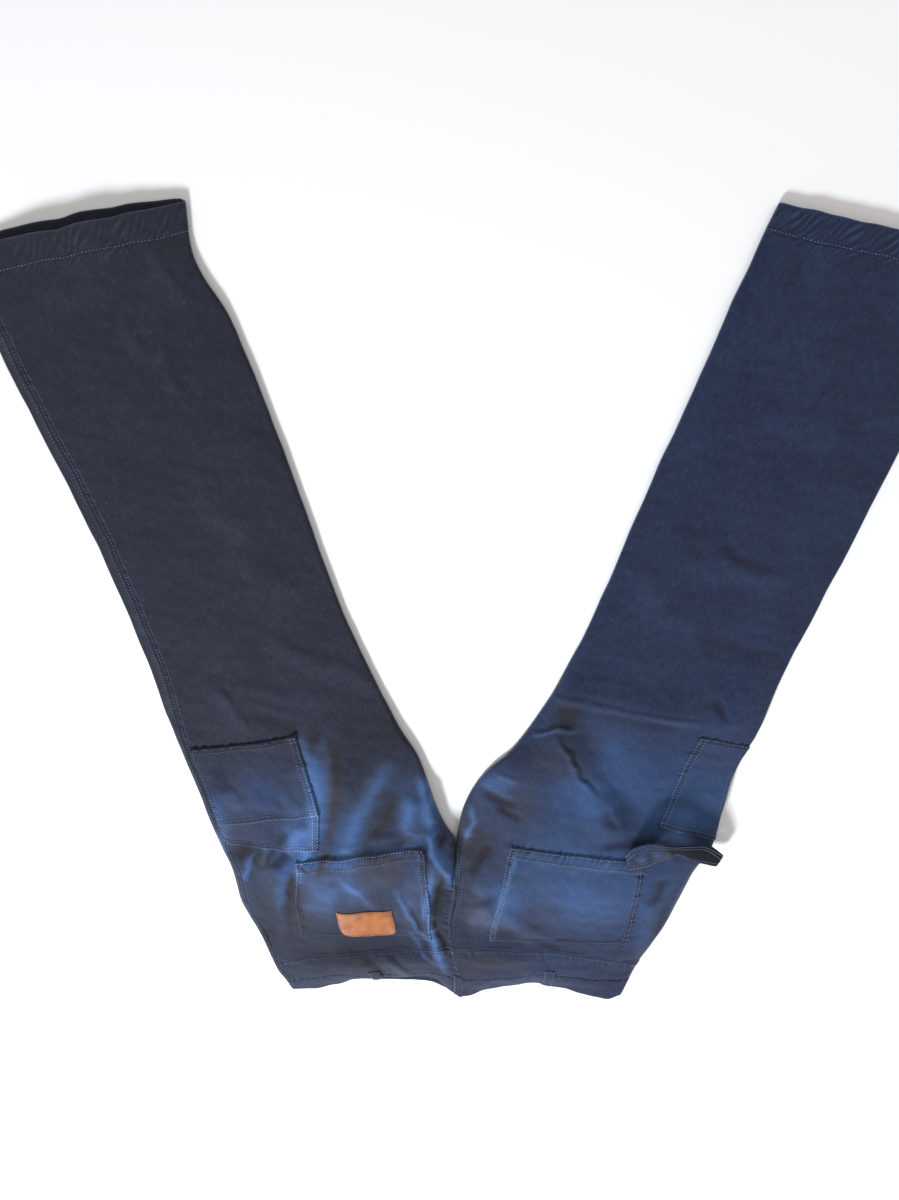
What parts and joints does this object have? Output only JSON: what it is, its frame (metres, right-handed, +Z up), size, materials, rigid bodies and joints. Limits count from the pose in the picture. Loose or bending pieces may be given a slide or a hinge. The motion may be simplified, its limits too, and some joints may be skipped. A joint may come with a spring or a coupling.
{
  "type": "carpenter jeans",
  "caption": "Denim carpenter jeans laid flat, back upwards, with back and tool pockets, hammer strap, yoke, waistband and belt loops.",
  "frame": {"origin": "centre of the bounding box in plan, on the flat surface the jeans lie on", "axes": "+X towards the wearer's left leg, +Y from the waist towards the hems, +Z up, out of the back of the jeans"},
  "size_m": [1.0622, 0.9768, 0.0578],
  "materials": {
    "denim": "woven twill, washed",
    "denim_double": "woven twill, two layers",
    "denim_pocket": "woven twill, washed",
    "tan_leather": "bare, matte",
    "button_brass": "brushed"
  },
  "bodies": {
    "root": {"back_right": "denim", "back_left": "denim", "front_right": "denim", "front_left": "denim", "yoke_right": "denim", "yoke_left": "denim", "waistband": "denim_double", "belt_loop_back_right": "denim_double", "belt_loop_back_centre": "denim_double", "belt_loop_back_left": "denim_double", "belt_loop_front_right": "denim_double", "belt_loop_front_left": "denim_double", "back_pocket_right": "denim_pocket", "back_pocket_left": "denim_pocket", "tool_pocket_right": "denim_pocket", "tool_pocket_right_small": "denim_pocket", "tool_pocket_left": "denim_pocket", "hammer_strap": "denim_double", "patch": "tan_leather", "button": "button_brass"}
  },
  "joints": []
}
